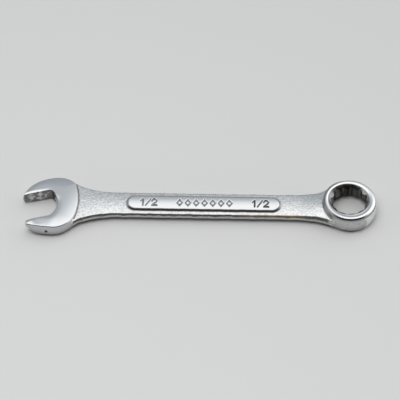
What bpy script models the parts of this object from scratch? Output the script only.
"""Combination wrench, 1/2 inch: open jaw at one end, 12-point ring at the other.

The real wrench is one drop forging. It is modelled here as the three sections that the
forging shows, divided at its own shoulders: the open-end head, the shank with its raised
panels, and the box-end head. Metres, +Z up, the wrench lying flat. X runs from the
open jaw (-X) to the ring (+X), and the origin is below the middle of its outline.
"""
import math

import bmesh
import bpy
from mathutils import Vector

MM = 0.001

# Overall sizes
LENGTH = 141.0 * MM             # jaw tip to the far side of the ring
HEAD_WIDTH = 26.9 * MM          # across both jaws
AXIS_Y = 1.3 * MM               # centre line of shank and ring, off the middle of the jaws
SEAM = 0.3 * MM                 # clearance between two sections

# Wrenching openings: 1/2 inch across the flats, with a working allowance
ACROSS_FLATS = 12.8 * MM

# Open-end head
HEAD_THICKNESS = 6.1 * MM
HEAD_EDGE_RADIUS = 1.1 * MM
JAW_ANGLE = math.radians(15)    # the slot's centre line against the shank
SLOT_POINT = Vector((-63.75 * MM, -1.57 * MM))  # a point on the slot's centre line
THROAT_X = -56.4 * MM           # deepest point of the throat

# Box-end head
RING_HEIGHT = 8.0 * MM
RING_WALL_RADIUS = 10.9 * MM    # at half height
RING_RIM_RADIUS = 9.6 * MM      # outer edge of the flat rims
RING_EDGE = 0.4 * MM            # rounding between rim and wall
RING_X = LENGTH / 2 - RING_WALL_RADIUS
RING_Y = AXIS_Y + 0.3 * MM
TOP_MOUTH_RADIUS = 8.35 * MM    # the bore's opening above
TOP_LEAD_IN = 1.3 * MM          # and the depth of its chamfer
BOTTOM_MOUTH_RADIUS = 8.6 * MM  # the bore's opening below
BOTTOM_STEP_RADIUS = 7.5 * MM   # where its steep lead-in turns shallow
BOTTOM_STEP = 1.9 * MM          # height of that turn
BOTTOM_LEAD_IN = 2.5 * MM       # full depth of the lead-in below
STAR_PHASE = math.radians(21)   # direction of one of the twelve points

# Shank
WEB_BOTTOM = 0.9 * MM
WEB_TOP = 4.3 * MM
WEB_HALF_WIDTH = 5.65 * MM
WEB_EDGE_RADIUS = 1.0 * MM
HEAD_FLARE_START = -31.0 * MM
HEAD_FLARE_END = -49.2 * MM
RING_FLARE_START = 32.0 * MM
RING_FLARE_END = 52.5 * MM
SHANK_BLANK_START = -50.5 * MM  # inside the open-end head, before it is trimmed
SHANK_BLANK_END = 56.0 * MM     # inside the ring, before it is trimmed

# Raised panels on both faces of the shank
PANEL_START = -28.8 * MM
PANEL_END = 32.2 * MM
PANEL_HALF_WIDTH = 3.4 * MM
PANEL_HEIGHT = 0.75 * MM

ARC_STEPS = 12
RING_SEGMENTS = 72


def clear_scene():
    for item in list(bpy.data.objects):
        bpy.data.objects.remove(item, do_unlink=True)


def chrome(name, roughness):
    material = bpy.data.materials.new(name)
    material.use_nodes = True
    shader = material.node_tree.nodes["Principled BSDF"]
    shader.inputs["Base Color"].default_value = (0.62, 0.63, 0.64, 1.0)
    shader.inputs["Metallic"].default_value = 1.0
    shader.inputs["Roughness"].default_value = roughness
    return material


def add_object(name, mesh_data, material=None):
    mesh = bpy.data.meshes.new(name)
    bmesh.ops.recalc_face_normals(mesh_data, faces=mesh_data.faces[:])
    mesh_data.to_mesh(mesh)
    mesh_data.free()
    item = bpy.data.objects.new(name, mesh)
    bpy.context.scene.collection.objects.link(item)
    if material is not None:
        mesh.materials.append(material)
        mesh.shade_smooth()
        mesh.set_sharp_from_angle(angle=math.radians(30))
    return item


def arc_through(start, middle, end, steps=ARC_STEPS):
    """Points of the arc from start through middle to end, without its last point."""
    ax, ay = start
    bx, by = middle
    cx, cy = end
    d = 2 * (ax * (by - cy) + bx * (cy - ay) + cx * (ay - by))
    ux = ((ax**2 + ay**2) * (by - cy) + (bx**2 + by**2) * (cy - ay) + (cx**2 + cy**2) * (ay - by)) / d
    uy = ((ax**2 + ay**2) * (cx - bx) + (bx**2 + by**2) * (ax - cx) + (cx**2 + cy**2) * (bx - ax)) / d
    radius = math.hypot(ax - ux, ay - uy)
    first = math.atan2(ay - uy, ax - ux)
    half = (math.atan2(by - uy, bx - ux) - first + math.pi) % (2 * math.pi) - math.pi
    last = (math.atan2(cy - uy, cx - ux) - first) % (2 * math.pi)
    if half < 0:
        last -= 2 * math.pi
    angles = [first + last * step / steps for step in range(steps)]
    return [(ux + radius * math.cos(a), uy + radius * math.sin(a)) for a in angles]


def prism(outline, bottom, top):
    """A closed prism over an outline of (x, y) points."""
    data = bmesh.new()
    base = [data.verts.new((x, y, bottom)) for x, y in outline]
    face = data.faces.new(base)
    lifted = bmesh.ops.extrude_face_region(data, geom=[face])
    raised = [v for v in lifted["geom"] if isinstance(v, bmesh.types.BMVert)]
    bmesh.ops.translate(data, verts=raised, vec=(0, 0, top - bottom))
    return data


def turned(profile, centre, segments=RING_SEGMENTS):
    """A solid of revolution about a vertical axis; profile is (radius, z) from axis to axis."""
    data = bmesh.new()
    points = [data.verts.new((radius, 0, z)) for radius, z in profile]
    edges = [data.edges.new(pair) for pair in zip(points, points[1:])]
    bmesh.ops.spin(data, geom=points + edges, cent=(0, 0, 0), axis=(0, 0, 1),
                   angle=2 * math.pi, steps=segments, use_merge=True)
    bmesh.ops.remove_doubles(data, verts=data.verts[:], dist=0.001 * MM)
    bmesh.ops.translate(data, verts=data.verts[:], vec=centre)
    return data


def cut(item, cutter, operation="DIFFERENCE"):
    modifier = item.modifiers.new(cutter.name, "BOOLEAN")
    modifier.operation = operation
    modifier.object = cutter
    modifier.solver = "EXACT"
    cutter.hide_render = True
    cutter.display_type = "WIRE"


def head_outline(grow=0.0):
    """The outside of the open-end head; grow moves only the shoulder outwards."""
    left = -LENGTH / 2
    half = HEAD_WIDTH / 2
    upper_tip = (left, 3.9 * MM)
    crown = (left + 13.9 * MM, half)
    upper_shoulder = (-49.5 * MM + grow, 10.2 * MM)
    shoulder = (-48.1 * MM + grow, 0.2 * MM)
    lower_shoulder = (-50.1 * MM + grow, -8.9 * MM)
    base = (-58.8 * MM, -half)
    lower_tip = (-68.3 * MM, -11.5 * MM)
    outline = arc_through(upper_tip, (-65.2 * MM, 9.9 * MM), crown)
    outline += arc_through(crown, (-52.4 * MM, 12.55 * MM), upper_shoulder)
    outline += arc_through(upper_shoulder, shoulder, lower_shoulder)
    outline += arc_through(lower_shoulder, (-53.3 * MM, -12.15 * MM), base)
    outline += arc_through(base, (-64.4 * MM, -12.85 * MM), lower_tip)
    outline += [lower_tip, (-68.9 * MM, -10.6 * MM), (left, 3.0 * MM)]
    return outline


def slot_outline():
    """The gap between the jaws: two parallel flats and an arc across the throat."""
    along = Vector((math.cos(JAW_ANGLE), math.sin(JAW_ANGLE)))
    across = Vector((-along.y, along.x))
    half = ACROSS_FLATS / 2
    mouth = SLOT_POINT - along * 14 * MM
    upper = SLOT_POINT + across * half + along * 6.3 * MM
    lower = SLOT_POINT - across * half + along * 3.5 * MM
    middle = (THROAT_X, SLOT_POINT.y + 1.0 * MM)
    outline = [tuple(mouth - across * half)]
    outline += arc_through(tuple(lower), middle, tuple(upper))
    outline += [tuple(upper), tuple(mouth + across * half)]
    return outline


def make_open_end_head(material):
    head = add_object("open_end_head", prism(head_outline(), 0, HEAD_THICKNESS), material)
    rounding = head.modifiers.new("edge_rounding", "BEVEL")
    rounding.width = HEAD_EDGE_RADIUS
    rounding.segments = 3
    rounding.limit_method = "ANGLE"
    rounding.angle_limit = math.radians(40)
    slot = add_object("slot_cutter", prism(slot_outline(), -2 * MM, HEAD_THICKNESS + 2 * MM))
    cut(head, slot)
    return head


def half_width(x):
    """Half the shank's width: parallel in the middle, flaring to both heads."""
    x = min(max(x, HEAD_FLARE_END), RING_FLARE_END)
    width = WEB_HALF_WIDTH
    if x < HEAD_FLARE_START:
        width += 3.2 * MM * ((HEAD_FLARE_START - x) / (18 * MM)) ** 2.7
    if x > RING_FLARE_START:
        width += 1.8 * MM * ((x - RING_FLARE_START) / (18 * MM)) ** 3.2
    return width


def web_section(x):
    """A rounded rectangle across the shank at x, as points running round it."""
    half = half_width(x)
    points = []
    corners = [(half, WEB_BOTTOM, -90), (half, WEB_TOP, 0), (-half, WEB_TOP, 90), (-half, WEB_BOTTOM, 180)]
    for y, z, start in corners:
        centre_y = y - math.copysign(WEB_EDGE_RADIUS, y)
        centre_z = z - WEB_EDGE_RADIUS if z > WEB_BOTTOM else z + WEB_EDGE_RADIUS
        for step in range(4):
            angle = math.radians(start + 30 * step)
            points.append((x, AXIS_Y + centre_y + WEB_EDGE_RADIUS * math.cos(angle),
                           centre_z + WEB_EDGE_RADIUS * math.sin(angle)))
    return points


def loft(sections):
    data = bmesh.new()
    rings = [[data.verts.new(point) for point in section] for section in sections]
    count = len(rings[0])
    for near, far in zip(rings, rings[1:]):
        for k in range(count):
            data.faces.new((near[k], near[(k + 1) % count], far[(k + 1) % count], far[k]))
    data.faces.new(rings[0])
    data.faces.new(rings[-1])
    return data


def panel_outline():
    """The raised panel: a bar with full round ends."""
    start = PANEL_START + PANEL_HALF_WIDTH
    end = PANEL_END - PANEL_HALF_WIDTH
    low = AXIS_Y - PANEL_HALF_WIDTH
    high = AXIS_Y + PANEL_HALF_WIDTH
    outline = arc_through((end, low), (PANEL_END, AXIS_Y), (end, high), 16) + [(end, high)]
    outline += arc_through((start, high), (PANEL_START, AXIS_Y), (start, low), 16) + [(start, low)]
    return outline


def make_shank(material):
    step = 2.5 * MM
    count = round((SHANK_BLANK_END - SHANK_BLANK_START) / step)
    stations = [SHANK_BLANK_START + step * k for k in range(count + 1)]
    straight = (HEAD_FLARE_START, RING_FLARE_START)
    stations = [x for x in stations if not straight[0] < x < straight[1]]
    stations = sorted(stations + list(straight))
    shank = add_object("shank", loft([web_section(x) for x in stations]), material)
    panels = prism(panel_outline(), WEB_BOTTOM - PANEL_HEIGHT, WEB_TOP + PANEL_HEIGHT)
    cut(shank, add_object("panel_former", panels), "UNION")
    head_side = prism(head_outline(SEAM), -2 * MM, HEAD_THICKNESS + 2 * MM)
    cut(shank, add_object("head_clearance", head_side))
    reach = RING_WALL_RADIUS + SEAM
    ring_side = turned([(0, -2 * MM), (reach, -2 * MM), (reach, 10 * MM), (0, 10 * MM)],
                       (RING_X, RING_Y, 0))
    cut(shank, add_object("ring_clearance", ring_side))
    return shank


def star_outline():
    """Two hexagons a twelfth of a turn apart: the outline of the 12-point bore."""
    outer = ACROSS_FLATS / 2 / math.cos(math.radians(30))
    inner = ACROSS_FLATS / 2 / math.cos(math.radians(15))
    outline = []
    for point in range(24):
        radius = inner if point % 2 else outer
        angle = STAR_PHASE + math.radians(15 * point)
        outline.append((RING_X + radius * math.cos(angle), RING_Y + radius * math.sin(angle)))
    return outline


def lead_in_above():
    """Cutter for the chamfer at the bore's upper mouth."""
    inner = ACROSS_FLATS / 2 / math.cos(math.radians(15))
    slope = TOP_LEAD_IN / (TOP_MOUTH_RADIUS - inner)
    tip = RING_HEIGHT - slope * TOP_MOUTH_RADIUS
    clear = 1 * MM
    return turned([(0, tip), (TOP_MOUTH_RADIUS + clear / slope, RING_HEIGHT + clear),
                   (0, RING_HEIGHT + clear)], (RING_X, RING_Y, 0))


def lead_in_below():
    """Cutter for the lower mouth: a steep cone, then a shallow one up to the inner points."""
    inner = ACROSS_FLATS / 2 / math.cos(math.radians(15))
    clear = 1 * MM
    spread = (BOTTOM_MOUTH_RADIUS - BOTTOM_STEP_RADIUS) / BOTTOM_STEP
    return turned([(0, -clear), (BOTTOM_MOUTH_RADIUS + spread * clear, -clear),
                   (BOTTOM_STEP_RADIUS, BOTTOM_STEP), (inner, BOTTOM_LEAD_IN),
                   (0, BOTTOM_LEAD_IN)], (RING_X, RING_Y, 0))


def ring_profile():
    """The ring's blank from axis to axis: flat rims and a wall that swells to half height."""
    middle = RING_HEIGHT / 2
    swell = RING_WALL_RADIUS - RING_RIM_RADIUS - RING_EDGE
    reach = middle - RING_EDGE
    profile = [(0, 0), (RING_RIM_RADIUS, 0)]
    for step in range(-4, 5):
        share = step / 4
        profile.append((RING_WALL_RADIUS - swell * share * share, middle + reach * share))
    return profile + [(RING_RIM_RADIUS, RING_HEIGHT), (0, RING_HEIGHT)]


def make_box_end_head(material):
    blank = turned(ring_profile(), (RING_X, RING_Y, 0))
    ring = add_object("box_end_head", blank, material)
    bore = prism(star_outline(), -2 * MM, RING_HEIGHT + 2 * MM)
    cut(ring, add_object("bore_cutter", bore))
    cut(ring, add_object("lead_in_cutter_above", lead_in_above()))
    cut(ring, add_object("lead_in_cutter_below", lead_in_below()))
    return ring


def main():
    clear_scene()
    polished = chrome("polished_chrome", 0.18)
    forged = chrome("forged_chrome", 0.38)
    make_open_end_head(polished)
    make_shank(forged)
    make_box_end_head(polished)


main()
